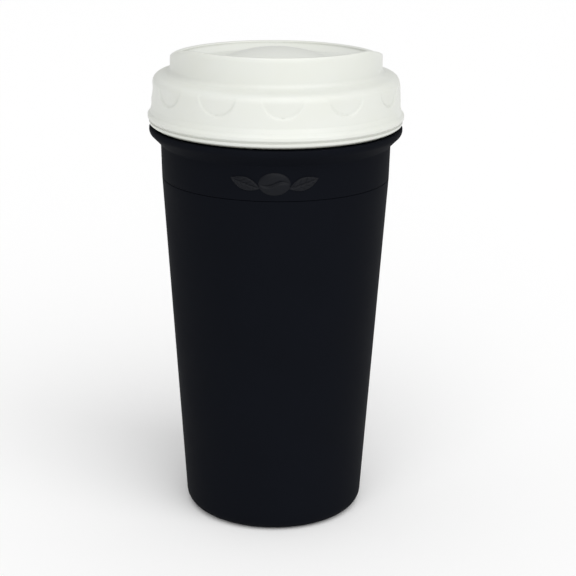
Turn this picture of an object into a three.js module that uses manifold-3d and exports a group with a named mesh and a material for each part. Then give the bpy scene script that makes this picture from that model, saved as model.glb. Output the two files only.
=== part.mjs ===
// Double-wall travel cup with a screw lid. The lid has a raised drinking lip and a domed dial
// that turns about its centre and carries a tongue over the sip hole.
// Millimetres, +Z up. The origin is the centre of the base, on the surface the cup stands on.
// The front, with the emblem and the drinking lip, faces -Y. Outlines are lists of [radius, height].
import * as THREE from 'three';
import { mergeVertices } from 'three/addons/utils/BufferGeometryUtils.js';
import Module from 'manifold-3d';

const wasm = await Module();
wasm.setup();

// ---------- Driving dimensions ----------

// Fits
const clearance = 0.35;        // between pieces that are assembled for good
const seatGap = 0.4;           // lid to flange, and shell to collar at the seam line
const cutMargin = 1;           // how far a cutting solid runs past what it cuts
const sink = 0.4;              // how far a joined feature is buried in the wall that carries it

// Outer shell
const baseRadius = 32.9;
const baseCorner = 4.8;        // radius of the outer corner at the base
const floorCorner = 3.0;       // bevel between the inner wall and the floor
const footWidth = 4.5;         // ring that the cup stands on
const footRecess = 1.4;        // height of the hollow inside that ring
const shellWall = 1.8;
const shellFloor = 2.0;

// Collar
const seamHeight = 127;        // where the outer shell ends and the collar begins
const bandHeight = 12.1;       // straight band, from the seam up to the flange
const flangeHeight = 6.1;
const flangeRound = 3.0;       // between the flange's sloping underside and its upright edge
const neckRadius = 40.2;       // thread root
const neckHeight = 12.8;       // above the flange
const neckWall = 2.0;
const bandProud = 1.2;         // band's radius over the thread root
const bandTaper = 0.3;
const flangeInset = 0.5;       // flange's radius under the lid's bead
const spigotLength = 7;        // part of the collar that sits inside the shell
const spigotWall = 1.5;

// Screw thread between collar and lid
const threadStarts = 4;
const threadLead = 20;         // rise in one turn
const threadDepth = 1.4;
const threadCrest = 1.4;       // width of a rib's top
const threadFoot = 2.4;        // width of a rib where it meets its wall
const threadSweep = 120;       // degrees round the neck covered by one rib
const threadDrop = 2.73;       // from the neck's top down to the middle of a rib's high end
const lugSweep = 40;           // degrees round the lid covered by one lug
const threadFlankGap = 0.35;
const threadRoom = 1.1;        // between the rib's crest and the lid's wall

// Inner liner
const linerWall = 1.6;
const linerFloor = 1.8;
const linerLift = 3.2;         // gap between the two floors
const linerCorner = 5;
const rimThickness = 1.5;
const rimBevel = 0.5;

// Lid
const lidWall = 1.9;
const lidBevel = 0.4;
const skirtTaper = 0.4;
const beadHeight = 4.3;
const beadProud = 1.4;
const beadFoot = 1.2;          // height of the slope under the bead
const beadEase = 2.6;          // height over which the bead runs out into the skirt
const shoulderRise = 3.8;      // from the top of the skirt to the foot of the crown
const shoulderRound = 3.4;
const shoulderSlope = 15;      // degrees, of the ledge between the shoulder and the crown
const crownWall = 1.9;
const crownEdge = 0.5;         // radius of the edges along the crown's top
const bowlFoot = 0.3;          // upright part of the crown's inner wall at the back
const crownInset = 2.4;        // crown's radius under the thread root
const crownFillet = 2.2;
const crownDrop = 2.8;         // from the deck down to the foot of the crown
const rimRise = 2.8;           // top of the crown at the back, above the deck
const lipRise = 5.0;           // top of the crown at the front, above its top at the back
const lipFull = 50;            // degrees each side of the front at full height
const lipEnd = 100;            // degrees each side of the front where the lip has run out
const lipFoot = 1.0;           // height above the deck where the lip starts to grow
const seatWall = 2.85;         // from the gasket's seat up to the deck's underside
const deckThickness = 1.8;
const bowlWidth = 3.6;         // sloping border between the deck and the crown's inner wall
const plugWall = 1.6;
const plugDepth = 2.0;         // how far the plug ring reaches below the liner's rim
const gasketThickness = 2.0;
const lidTurn = 3.5;           // degrees to the right at which the tight lid stops

// Grip pockets round the skirt
const pocketCount = 12;
const pocketWidth = 15;
const pocketDepth = 0.55;
const pocketFloor = 9.8;       // height of a pocket's lowest point above the lid's bottom edge

// Sip hole, vent, and the stops on the deck
const sipWidth = 12;
const sipDepth = 4.8;
const sipSetback = 5.6;        // from the crown's inner wall to the hole's outer edge
const ventRadius = 1.2;
const ventShare = 0.3;         // how far out the vent lies between the dial's hub and the dome's edge
const stopShift = 1.0;         // stops lie so much further out than the sip hole
const stopHeight = 1.8;
const stopDegrees = 3;
const stopMargin = 1;          // degrees between a stop and the tongue that has come to it

// Dial
const dialTravel = 60;         // degrees between closed and open
const domeRise = 5.45;
const domeWall = 1.6;
const domeBorder = 2.4;        // from the seal's recess to the dome's edge
const runGap = 0.3;            // between the dial and the deck it turns on
const tongueDegrees = 24;      // half of the tongue's sweep
const tongueThickness = 2.4;
const tongueOverlap = 1.6;     // how far the tongue reaches past the sip hole
const thumbHeight = 2.7;
const thumbDegrees = 12;
const thumbTaper = 1.6;
const sealThickness = 1.1;
const sealBorder = 0.6;        // how far the sip seal reaches past the hole
const ventSealBorder = 1.2;
const ventBossBorder = 1.4;
const sealDegrees = 17;
const stemRadius = 3.0;
const stemFit = 0.4;
const stemTail = 4.9;          // how far the stem reaches below the deck
const clipMouth = 3.6;         // width of the clip's open side
const hubRadius = 5.6;
const hubLift = 1.6;           // height of the hub's face above the deck
const ringThickness = 1.0;     // of the stem's O-ring
const clipThickness = 0.9;
const clipRadius = 6.0;
const clipNeck = 2.1;          // stem's radius in the groove that holds the clip

// Emblem on the collar's band: a coffee bean between two leaves
const emblemHeight = 0.7;      // over the band
const emblemRoot = 1.2;        // how deep its shapes reach into the band
const beanLength = 11;
const beanWidth = 8;
const leafLength = 11;
const leafWidth = 4.6;
const leafDegrees = 14;        // round the band from the bean's middle to a leaf's middle
const leafTilt = 18;

// Fineness
const roundSides = 60;
const smallSides = 24;

// ---------- Worked out from the dimensions above ----------

const radians = THREE.MathUtils.degToRad;

const flangeTop = seamHeight + bandHeight + flangeHeight;
const neckTop = flangeTop + neckHeight;
const rimBottom = neckTop + clearance;
const rimTop = rimBottom + rimThickness;
const bandRadius = neckRadius + bandProud;
const seamRadius = bandRadius - bandTaper;

const lidBottom = flangeTop + seatGap;
const skirtInner = neckRadius + threadDepth + threadRoom;
const skirtOuter = skirtInner + lidWall;
const beadRadius = skirtOuter + beadProud;
const flangeRadius = beadRadius - flangeInset;
const crownRadius = neckRadius - crownInset;
const crownInner = crownRadius - crownWall;

const gasketBottom = rimTop + clearance;
const gasketSeat = gasketBottom + gasketThickness + clearance;
const deckUnder = gasketSeat + seatWall;
const deckHeight = deckUnder + deckThickness;
const rimHeight = deckHeight + rimRise;
const crownFoot = deckHeight - crownDrop;
const skirtTop = crownFoot - shoulderRise;

const mouthOuter = neckRadius - neckWall - clearance;
const shellTop = seamHeight - seatGap / 2;
const collarBottom = seamHeight + seatGap / 2;
const shellFloorTop = footRecess + shellFloor;
const linerBottom = shellFloorTop + linerLift;
const plugOuter = mouthOuter - linerWall - clearance;

const sipOuter = crownInner - sipSetback;
const sipInner = sipOuter - sipDepth;
const sealInner = sipInner - sealBorder;
const sealOuter = sipOuter + sealBorder;
const tongueRadius = sipOuter + tongueOverlap;

const dialBottom = deckHeight + runGap;
const domeEdge = sealInner - runGap - domeBorder;
const domeCurve = (domeEdge ** 2 + domeRise ** 2) / (2 * domeRise);
const domeCentre = dialBottom + domeRise - domeCurve;
const ventDistance = hubRadius + (domeEdge - hubRadius) * ventShare;

const shellOuterAt = (z) => baseRadius + (seamRadius - baseRadius) * (z / seamHeight);
const shellInnerAt = (z) => shellOuterAt(z) - shellWall;
const spigotRoom = clearance + spigotWall + clearance;
const linerOuterAt = (z) => shellInnerAt(z) - spigotRoom;
const domeRadiusAt = (z, curve) => Math.sqrt(curve ** 2 - (z - domeCentre) ** 2);
const domeHeightAt = (r, curve) => domeCentre + Math.sqrt(curve ** 2 - r ** 2);

// ---------- Solids ----------

// A geometry with its shared vertices merged.
function mergedOf(geometry) {
  const bare = geometry.clone();
  bare.deleteAttribute('normal');
  bare.deleteAttribute('uv');
  return mergeVertices(bare, 1e-4);
}

// A three.js geometry as a manifold-3d solid.
function solidOf(geometry) {
  const merged = mergedOf(geometry);
  return new wasm.Manifold(new wasm.Mesh({
    numProp: 3,
    vertProperties: new Float32Array(merged.attributes.position.array),
    triVerts: new Uint32Array(merged.index.array),
  }));
}

// A manifold-3d solid as a three.js geometry.
function geometryOf(solid) {
  const { vertProperties, triVerts } = solid.getMesh();
  const geometry = new THREE.BufferGeometry();
  geometry.setAttribute('position', new THREE.BufferAttribute(vertProperties, 3));
  geometry.setIndex(new THREE.BufferAttribute(triVerts, 1));
  geometry.computeVertexNormals();
  return geometry;
}

function joined(geometry, additions, cuts = []) {
  let solid = solidOf(geometry);
  for (const addition of additions) solid = solid.add(solidOf(addition));
  for (const cut of cuts) solid = solid.subtract(solidOf(cut));
  return geometryOf(solid);
}

// Points on an arc in an outline, from one angle to another in degrees, 0 pointing away from the axis.
function arc(r, z, radius, from, to, steps = 4) {
  return Array.from({ length: steps + 1 }, (_, i) => {
    const angle = radians(from + (to - from) * (i / steps));
    return [r + radius * Math.cos(angle), z + radius * Math.sin(angle)];
  });
}

// Turns a closed outline about the Z axis. The first meridian is at the front.
function turned(outline, sides = roundSides) {
  const area = outline.reduce((sum, [r, z], i) => {
    const [nextR, nextZ] = outline[(i + 1) % outline.length];
    return sum + r * nextZ - nextR * z;
  }, 0);
  const points = (area > 0 ? outline : [...outline].reverse()).map(([r, z]) => new THREE.Vector2(r, z));
  if (points[0].x > 0 || points.at(-1).x > 0) points.push(points[0].clone());
  return new THREE.LatheGeometry(points, sides).rotateX(Math.PI / 2);
}

// Sweeps an outline about the Z axis from one angle to another, 0 at the front and positive to the right.
// The sweep climbs by `lead` in a full turn.
function swept(outline, from, to, lead = 0) {
  const steps = Math.max(1, Math.ceil((to - from) / 5));
  const shape = new THREE.Shape(outline.map(([r, z]) => new THREE.Vector2(r, z)));
  const geometry = new THREE.ExtrudeGeometry(shape, { depth: to - from, steps, bevelEnabled: false });
  const position = geometry.attributes.position;
  for (let i = 0; i < position.count; i++) {
    const radius = position.getX(i);
    const turn = position.getZ(i);
    const angle = radians(from + turn);
    const height = position.getY(i) + (lead * turn) / 360;
    position.setXYZ(i, radius * Math.sin(angle), -radius * Math.cos(angle), height);
  }
  return facingOut(geometry);
}

// A flat shape drawn out along Z.
function prism(shape, depth) {
  return new THREE.ExtrudeGeometry(shape, { depth, bevelEnabled: false, curveSegments: 8 });
}

// Bending an extrusion can turn its faces in, so this turns them out again.
function facingOut(geometry) {
  const merged = mergedOf(geometry);
  if (solidOf(merged).volume() < 0) merged.index.array.reverse();
  return merged;
}

// An upright cylinder between two heights.
function post(radius, bottom, top, x = 0, y = 0, sides = smallSides) {
  return new THREE.CylinderGeometry(radius, radius, top - bottom, sides)
    .rotateX(Math.PI / 2)
    .translate(x, y, (top + bottom) / 2);
}

// ---------- Cup ----------

function outerShell() {
  const corner = arc(shellOuterAt(baseCorner) - baseCorner, baseCorner, baseCorner, -90, -4);
  const footInner = shellOuterAt(baseCorner) - baseCorner - footWidth;
  return turned([
    [0, footRecess],
    [footInner - footRecess, footRecess],
    [footInner, 0],
    ...corner,
    [shellOuterAt(shellTop), shellTop],
    [shellInnerAt(shellTop), shellTop],
    [shellInnerAt(shellFloorTop + floorCorner), shellFloorTop + floorCorner],
    [shellInnerAt(shellFloorTop) - floorCorner, shellFloorTop],
    [0, shellFloorTop],
  ]);
}

function threadRib(root, tip, height, from, sweep) {
  const half = threadFoot / 2;
  const halfTip = threadCrest / 2;
  const foot = [[root, height + half], [root, height - half]];
  const crest = [[tip, height - halfTip], [tip, height + halfTip]];
  return swept([...foot, ...crest], from, from + sweep, threadLead);
}

const startAngles = Array.from({ length: threadStarts }, (_, i) => lidTurn + (i * 360) / threadStarts);

// Height of a rib's middle at so many degrees past its low end.
const ribHeightAt = (degrees) => neckTop - threadDrop - (threadLead * (threadSweep - degrees)) / 360;

function collar() {
  const flangeFoot = seamHeight + bandHeight;
  const slope = 45;
  const slopeTop = flangeRadius - flangeRound * (1 - Math.cos(radians(slope)));
  const edgeBottom = flangeFoot + (slopeTop - bandRadius) + flangeRound * Math.sin(radians(slope));
  const body = turned([
    [linerOuterAt(seamHeight - spigotLength) + clearance, seamHeight - spigotLength],
    [shellInnerAt(seamHeight - spigotLength) - clearance, seamHeight - spigotLength],
    [shellInnerAt(seamHeight) - clearance, collarBottom],
    [seamRadius, collarBottom],
    [bandRadius, flangeFoot],
    ...arc(flangeRadius - flangeRound, edgeBottom, flangeRound, -slope, 0),
    [flangeRadius, flangeTop],
    [neckRadius, flangeTop],
    [neckRadius, neckTop],
    [mouthOuter + clearance, neckTop],
    [mouthOuter + clearance, flangeTop],
    [linerOuterAt(seamHeight) + clearance, seamHeight],
  ]);
  const ribs = startAngles.map((angle) =>
    threadRib(neckRadius - sink, neckRadius + threadDepth, ribHeightAt(0), angle, threadSweep));
  return joined(body, [...ribs, ...emblem()]);
}

// The relief is flat-topped, and each of its shapes faces straight out from the band.
function emblem() {
  const height = seamHeight + bandHeight / 2;
  const raised = (shape, degrees, tilt) =>
    prism(shape, emblemRoot + emblemHeight)
      .rotateZ(radians(tilt))
      .rotateX(Math.PI / 2)
      .translate(0, -(seamRadius - emblemRoot), height)
      .rotateZ(radians(degrees));
  const leaves = [-1, 1].map((side) => raised(leafShape(), side * leafDegrees, side * leafTilt));
  return [raised(beanShape(), 0, 0), ...leaves];
}

function beanShape() {
  return new THREE.Shape().absellipse(0, 0, beanLength / 2, beanWidth / 2, 0, Math.PI * 2);
}

function leafShape() {
  const tip = leafLength / 2;
  const bulge = leafWidth;
  const shape = new THREE.Shape();
  shape.moveTo(-tip, 0);
  shape.quadraticCurveTo(0, -bulge, tip, 0);
  shape.quadraticCurveTo(0, bulge, -tip, 0);
  return shape;
}

function innerLiner() {
  const cornerTop = linerBottom + linerCorner;
  const innerFloor = linerBottom + linerFloor;
  const outerCorner = arc(linerOuterAt(cornerTop) - linerCorner, cornerTop, linerCorner, -90, 0);
  const innerRound = linerCorner - linerWall;
  const innerCorner = arc(linerOuterAt(cornerTop) - linerCorner, innerFloor + innerRound, innerRound, 0, -90);
  return turned([
    [0, linerBottom],
    ...outerCorner,
    [linerOuterAt(seamHeight), seamHeight],
    [mouthOuter, flangeTop],
    [mouthOuter, rimBottom],
    [neckRadius - clearance, rimBottom],
    [neckRadius - clearance, rimTop - rimBevel],
    [neckRadius - clearance - rimBevel, rimTop],
    [mouthOuter - linerWall + rimBevel, rimTop],
    [mouthOuter - linerWall, rimTop - rimBevel],
    [mouthOuter - linerWall, flangeTop],
    [linerOuterAt(seamHeight) - linerWall, seamHeight],
    ...innerCorner,
    [0, innerFloor],
  ]);
}

// ---------- Lid ----------

function lidGasket() {
  const inner = plugOuter + clearance;
  const outer = neckRadius - clearance;
  const bevel = 0.3;
  const top = gasketBottom + gasketThickness;
  return turned([
    [inner, gasketBottom + bevel],
    [inner + bevel, gasketBottom],
    [outer - bevel, gasketBottom],
    [outer, gasketBottom + bevel],
    [outer, top - bevel],
    [outer - bevel, top],
    [inner + bevel, top],
    [inner, top - bevel],
  ]);
}

// Share of the lip's full height at so many degrees from the front.
function lipShare(degrees) {
  return 1 - THREE.MathUtils.smoothstep(Math.abs(degrees), lipFull, lipEnd);
}

// Lifts the crown's wall into the drinking lip: the more, the nearer a point is to the crown's top.
function liftLip(geometry) {
  const foot = deckHeight + lipFoot;
  const position = geometry.attributes.position;
  for (let i = 0; i < position.count; i++) {
    const [x, y, z] = [position.getX(i), position.getY(i), position.getZ(i)];
    if (z <= foot) continue;
    const share = (z - foot) / (rimHeight - foot);
    const lift = lipRise * lipShare(THREE.MathUtils.radToDeg(Math.atan2(x, -y)));
    position.setZ(i, z + share * lift);
  }
  return geometry;
}

function lidShell() {
  const skirtTopOuter = skirtOuter - skirtTaper;
  const seatOuter = neckRadius + clearance;
  const body = turned([
    [skirtInner + lidBevel, lidBottom],
    [beadRadius - lidBevel, lidBottom],
    [beadRadius, lidBottom + beadFoot],
    [beadRadius, lidBottom + beadHeight],
    [skirtOuter + beadProud / 4, lidBottom + beadHeight + beadEase / 2],
    [skirtOuter, lidBottom + beadHeight + beadEase],
    ...arc(skirtTopOuter - shoulderRound, skirtTop, shoulderRound, 0, 90 - shoulderSlope),
    ...arc(crownRadius + crownFillet, crownFoot + crownFillet, crownFillet, -90 - shoulderSlope, -180),
    ...arc(crownRadius - crownEdge, rimHeight - crownEdge, crownEdge, 0, 90, 2),
    ...arc(crownInner + crownEdge, rimHeight - crownEdge, crownEdge, 90, 180, 2),
    [crownInner, rimHeight - crownEdge - bowlFoot],
    [crownInner - bowlWidth, deckHeight],
    [stemRadius + stemFit, deckHeight],
    [stemRadius + stemFit, deckUnder],
    [plugOuter - plugWall, deckUnder],
    [plugOuter - plugWall, rimTop - plugDepth],
    [plugOuter, rimTop - plugDepth],
    [plugOuter, gasketSeat],
    [seatOuter, gasketSeat],
    [skirtInner - lidBevel, skirtTop + lidBevel],
    [skirtInner, skirtTop - shoulderRound],
  ]);
  return joined(liftLip(body), [...lugs(), ...dialStops()], [...gripPockets(), sipHole(), vent()]);
}

// Each lug runs under a rib of the neck, with the flank gap between them.
function lugs() {
  const lead = (threadSweep - lugSweep) / 2;
  const tipRadius = neckRadius + threadFlankGap;
  const footRadius = skirtInner + sink;
  const drop = (threadFoot + threadCrest) / 2 + threadFlankGap;
  return startAngles.map((angle) =>
    threadRib(footRadius, tipRadius, ribHeightAt(lead) - drop, angle - lidTurn + lead, lugSweep));
}

// Ribs on the deck that the tongue meets when the dial is closed and when it is open.
function dialStops() {
  const reach = tongueDegrees + stopMargin;
  const inner = sipInner + stopShift;
  const outer = sipOuter + stopShift;
  const top = deckHeight + stopHeight;
  const outline = [[inner, deckHeight - sink], [outer, deckHeight - sink], [outer, top], [inner, top]];
  return [
    swept(outline, -reach - stopDegrees, -reach),
    swept(outline, dialTravel + reach, dialTravel + reach + stopDegrees),
  ];
}

// A pocket has a flat floor and a half-round lower end, and runs out through the shoulder.
function gripPockets() {
  const half = pocketWidth / 2;
  const bottom = lidBottom + pocketFloor;
  const top = skirtTop + shoulderRise;
  const shape = new THREE.Shape();
  shape.moveTo(half, top);
  shape.lineTo(-half, top);
  shape.lineTo(-half, bottom + half);
  shape.absarc(0, bottom + half, half, Math.PI, Math.PI * 2);
  const floor = skirtOuter - pocketDepth;
  return Array.from({ length: pocketCount }, (_, i) =>
    prism(shape, pocketDepth + cutMargin)
      .rotateX(Math.PI / 2)
      .translate(0, -floor, 0)
      .rotateZ((i * Math.PI * 2) / pocketCount));
}

function sipHole() {
  const round = sipDepth / 2;
  const middle = (sipInner + sipOuter) / 2;
  const shape = new THREE.Shape();
  shape.absarc(sipWidth / 2 - round, -middle, round, -Math.PI / 2, Math.PI / 2);
  shape.absarc(round - sipWidth / 2, -middle, round, Math.PI / 2, Math.PI * 1.5);
  return prism(shape, deckThickness + 2 * cutMargin).translate(0, 0, deckUnder - cutMargin);
}

function vent() {
  return post(ventRadius, deckUnder - cutMargin, deckHeight + cutMargin, 0, ventDistance, 16);
}

// ---------- Dial ----------

function dial() {
  const innerCurve = domeCurve - domeWall;
  const innerEdge = domeRadiusAt(dialBottom, innerCurve);
  const hubBottom = deckHeight + hubLift;
  const clipTop = deckUnder - 2 * clearance;
  const clipBottom = clipTop - clipThickness - 2 * clearance;
  const steps = 6;
  const dome = (from, to, curve) => Array.from({ length: steps + 1 }, (_, i) => {
    const r = from + (to - from) * (i / steps);
    return [r, domeHeightAt(r, curve)];
  });
  const body = turned([
    [0, deckUnder - stemTail],
    [stemRadius, deckUnder - stemTail],
    [stemRadius, clipBottom],
    [clipNeck, clipBottom],
    [clipNeck, clipTop],
    [stemRadius, clipTop],
    [stemRadius, hubBottom],
    [hubRadius, hubBottom],
    ...dome(hubRadius, innerEdge, innerCurve),
    ...dome(domeEdge, 0, domeCurve),
  ]);
  const bossRadius = ventRadius + ventBossBorder;
  const bossTop = domeHeightAt(ventDistance + bossRadius, innerCurve) + sink;
  const boss = post(bossRadius, dialBottom + sealThickness + clearance, bossTop, 0, ventDistance, 20);
  return joined(body, [...tongue(), boss], [sealRecess(), ventRecess()]);
}

// A plate over the sip hole, with a ridge for the thumb.
function tongue() {
  const top = dialBottom + tongueThickness;
  const inner = domeRadiusAt(top, domeCurve) - sink;
  const plate = [[inner, dialBottom], [tongueRadius, dialBottom], [tongueRadius, top], [inner, top]];
  const ridge = [
    [sealInner, top - sink],
    [sipOuter, top - sink],
    [sipOuter - thumbTaper, top + thumbHeight],
    [sealInner + thumbTaper, top + thumbHeight],
  ];
  return [swept(plate, -tongueDegrees, tongueDegrees), swept(ridge, -thumbDegrees, thumbDegrees)];
}

function sealRecess() {
  const bottom = dialBottom - cutMargin;
  const top = dialBottom + sealThickness + runGap;
  const inner = sealInner - runGap;
  const outer = sealOuter + runGap;
  const outline = [[inner, bottom], [outer, bottom], [outer, top], [inner, top]];
  return swept(outline, -sealDegrees - 1, sealDegrees + 1);
}

function sipSeal() {
  const top = dialBottom + sealThickness;
  const outline = [[sealInner, dialBottom], [sealOuter, dialBottom], [sealOuter, top], [sealInner, top]];
  return swept(outline, -sealDegrees, sealDegrees);
}

// Room for the vent's seal, where the dome comes down close to it.
function ventRecess() {
  const radius = ventRadius + ventSealBorder + clearance;
  return post(radius, dialBottom - cutMargin, dialBottom + sealThickness + clearance, 0, ventDistance, 20);
}

function ventSeal() {
  return post(ventRadius + ventSealBorder, dialBottom, dialBottom + sealThickness, 0, ventDistance, 20);
}

function stemRing() {
  const round = (hubLift - 2 * runGap) / 2;
  const middle = stemRadius + stemFit + round;
  return turned(arc(middle, deckHeight + hubLift / 2, Math.min(round, ringThickness), 0, 315, 7), smallSides);
}

function stemClip() {
  const top = deckUnder - 3 * clearance;
  const bottom = top - clipThickness;
  const inner = clipNeck + stemFit;
  const ring = turned([[inner, bottom], [clipRadius, bottom], [clipRadius, top], [inner, top]], smallSides);
  const mouth = new THREE.BoxGeometry(clipMouth, clipRadius + cutMargin, clipThickness + cutMargin * 2)
    .translate(0, (clipRadius + cutMargin) / 2, (top + bottom) / 2);
  return joined(ring, [], [mouth]);
}

// ---------- Assembly ----------

const blackPlastic = { color: 0x17191d, roughness: 0.55, metalness: 0 };
const whitePlastic = { color: 0xeceee8, roughness: 0.35, metalness: 0 };
const clearSilicone = { color: 0xd9dbd6, roughness: 0.6, metalness: 0 };
const acetal = { color: 0xe4e3dc, roughness: 0.4, metalness: 0 };

function piece(name, geometry, finish) {
  const mesh = new THREE.Mesh(geometry, new THREE.MeshStandardMaterial(finish));
  mesh.name = name;
  return mesh;
}

const dialGroup = new THREE.Group();
dialGroup.add(
  piece('sip_dial', dial(), whitePlastic),
  piece('sip_seal', sipSeal(), clearSilicone),
  piece('vent_seal', ventSeal(), clearSilicone),
  piece('stem_clip', stemClip(), acetal),
);

const lidGroup = new THREE.Group();
lidGroup.rotation.z = radians(lidTurn);
lidGroup.add(
  piece('lid_shell', lidShell(), whitePlastic),
  piece('stem_o_ring', stemRing(), clearSilicone),
  dialGroup,
);

const group = new THREE.Group();
group.add(
  piece('outer_shell', outerShell(), blackPlastic),
  piece('collar', collar(), blackPlastic),
  piece('inner_liner', innerLiner(), blackPlastic),
  piece('lid_gasket', lidGasket(), clearSilicone),
  lidGroup,
);

export default group;
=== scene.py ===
import math

import bmesh
import bpy
import numpy as np
from mathutils import Matrix, Vector


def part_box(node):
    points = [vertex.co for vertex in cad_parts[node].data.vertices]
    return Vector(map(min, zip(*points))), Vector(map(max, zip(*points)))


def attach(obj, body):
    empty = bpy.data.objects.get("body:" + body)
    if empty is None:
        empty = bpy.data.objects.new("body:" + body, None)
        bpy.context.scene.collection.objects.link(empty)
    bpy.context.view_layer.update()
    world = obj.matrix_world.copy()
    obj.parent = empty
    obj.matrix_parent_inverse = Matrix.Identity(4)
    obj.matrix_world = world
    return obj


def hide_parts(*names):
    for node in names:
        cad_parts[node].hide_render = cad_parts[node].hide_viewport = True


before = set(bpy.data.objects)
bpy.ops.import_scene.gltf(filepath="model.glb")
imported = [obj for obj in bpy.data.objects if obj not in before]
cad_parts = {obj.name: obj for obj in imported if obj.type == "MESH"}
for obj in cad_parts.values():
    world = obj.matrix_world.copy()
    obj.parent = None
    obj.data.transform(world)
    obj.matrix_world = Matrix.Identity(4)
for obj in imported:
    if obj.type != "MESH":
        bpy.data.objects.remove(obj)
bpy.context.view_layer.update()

scene = bpy.context.scene

# Lengths in the dictionaries are millimetres, angles are degrees, and z is height above the table.
# Angles round the cup start at the front and grow to the right.


# Small tools

def toMetres(value):
    return value / 1000


def radiusOf(node):
    low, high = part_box(node)
    return (high.x - low.x) * 500


def bottomOf(node):
    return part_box(node)[0].z * 1000


def topOf(node):
    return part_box(node)[1].z * 1000


def toLinear(hexColour):
    channels = [int(hexColour[i:i + 2], 16) / 255 for i in (1, 3, 5)]
    linear = [c / 12.92 if c <= 0.04045 else ((c + 0.055) / 1.055) ** 2.4 for c in channels]
    return (*linear, 1.0)


def smoothStep(value, start, end):
    t = np.clip((value - start) / (end - start), 0, 1)
    return t * t * (3 - 2 * t)


# Rounds the corners of an outline. Each point is (radius, z) or (radius, z, fillet).
def filleted(points, steps=7):
    made = []
    count = len(points)
    for i, point in enumerate(points):
        here = Vector(point[:2])
        size = point[2] if len(point) > 2 else 0
        before = Vector(points[i - 1][:2]) - here
        after = Vector(points[(i + 1) % count][:2]) - here
        if not size or before.length < 1e-6 or after.length < 1e-6:
            made.append(tuple(here))
            continue
        half = before.angle(after) / 2
        reach = min(size / math.tan(half), before.length * 0.49, after.length * 0.49)
        size = reach * math.tan(half)
        start = here + before.normalized() * reach
        centre = here + (before.normalized() + after.normalized()).normalized() * size / math.sin(half)
        fromAngle = math.atan2(*(start - centre).yx)
        end = here + after.normalized() * reach
        turn = (math.atan2(*(end - centre).yx) - fromAngle + math.pi) % (2 * math.pi) - math.pi
        for k in range(steps + 1):
            angle = fromAngle + turn * k / steps
            made.append((centre.x + size * math.cos(angle), centre.y + size * math.sin(angle)))
    return made


# Splits long straight runs of an outline, so that a bent surface has points to bend.
# fine is a band of heights, low and high, and the longest run there.
def divided(points, longest, closed=True, fine=(0, 0, 1)):
    made = []
    pairs = zip(points, points[1:] + points[:1] if closed else points[1:])
    low, high, fineLength = fine
    for start, end in pairs:
        meets = max(start[1], end[1]) > low and min(start[1], end[1]) < high
        pieces = max(1, math.ceil(math.dist(start, end) / (fineLength if meets else longest)))
        for k in range(pieces):
            made.append(tuple(a + (b - a) * k / pieces for a, b in zip(start, end)))
    if not closed:
        made.append(points[-1])
    return made


def makeObject(name, vertices, faces):
    mesh = bpy.data.meshes.new(name)
    mesh.from_pydata(vertices, [], faces)
    mesh.update()
    obj = bpy.data.objects.new(name, mesh)
    scene.collection.objects.link(obj)
    tidyMesh(obj)
    return obj


def tidyMesh(obj, sharpAngle=38):
    shape = bmesh.new()
    shape.from_mesh(obj.data)
    bmesh.ops.remove_doubles(shape, verts=shape.verts, dist=1e-7)
    bmesh.ops.dissolve_degenerate(shape, edges=shape.edges, dist=1e-8)
    bmesh.ops.recalc_face_normals(shape, faces=shape.faces)
    shape.to_mesh(obj.data)
    shape.free()
    obj.data.shade_smooth()
    obj.data.set_sharp_from_angle(angle=math.radians(sharpAngle))


# Turns an outline about the cup's axis. bend(radius, angle, z) may move the points.
def turned(name, outline, sides=288, bend=None):
    onAxis = outline[0][0] == 0 and outline[-1][0] == 0
    ring = np.array(outline[1:-1] if onAxis else outline)
    angles = np.arange(sides) * 2 * math.pi / sides
    radius = np.repeat(ring[:, 0][None, :], sides, 0)
    height = np.repeat(ring[:, 1][None, :], sides, 0)
    angle = np.repeat(angles[:, None], len(ring), 1)
    if bend:
        radius, angle, height = bend(radius, angle, height)
    points = np.stack([radius * np.sin(angle), -radius * np.cos(angle), height], -1)
    vertices = (points.reshape(-1, 3) / 1000).tolist()
    rows = len(ring)
    faces = []
    for i in range(sides):
        this, following = i * rows, ((i + 1) % sides) * rows
        last = rows - 1 if onAxis else rows
        for k in range(last):
            up = (k + 1) % rows
            faces.append((this + k, following + k, following + up, this + up))
    if onAxis:
        for end, row in ((outline[0], 0), (outline[-1], rows - 1)):
            pole = len(vertices)
            vertices.append((0, 0, end[1] / 1000))
            faces += [(pole, i * rows + row, ((i + 1) % sides) * rows + row) for i in range(sides)]
    return makeObject(name, vertices, faces)


# Sweeps a small closed section round the cup.
# sectionAt(share) gives its (radius, z) points, and share runs from 0 to 1.
def swept(name, sectionAt, fromAngle, toAngle, steps):
    vertices, faces = [], []
    for i in range(steps + 1):
        share = i / steps
        angle = math.radians(fromAngle + (toAngle - fromAngle) * share)
        section = sectionAt(share)
        count = len(section)
        for radius, z in section:
            vertices.append((radius * math.sin(angle) / 1000, -radius * math.cos(angle) / 1000, z / 1000))
        if i:
            for k in range(count):
                a, b = (i - 1) * count + k, (i - 1) * count + (k + 1) % count
                faces.append((a, b, b + count, a + count))
    faces.append(tuple(range(count)))
    faces.append(tuple(range(steps * count, (steps + 1) * count)))
    return makeObject(name, vertices, faces)


# Joins tools to an object, or cuts them from it, and removes the tools.
def combined(obj, tools, operation):
    for tool in tools:
        modifier = obj.modifiers.new(operation, "BOOLEAN")
        modifier.operation = operation
        modifier.solver = "EXACT"
        modifier.object = tool
    depsgraph = bpy.context.evaluated_depsgraph_get()
    mesh = bpy.data.meshes.new_from_object(obj.evaluated_get(depsgraph))
    obj.modifiers.clear()
    obj.data = mesh
    for tool in tools:
        bpy.data.objects.remove(tool)
    tidyMesh(obj)
    return obj


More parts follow.
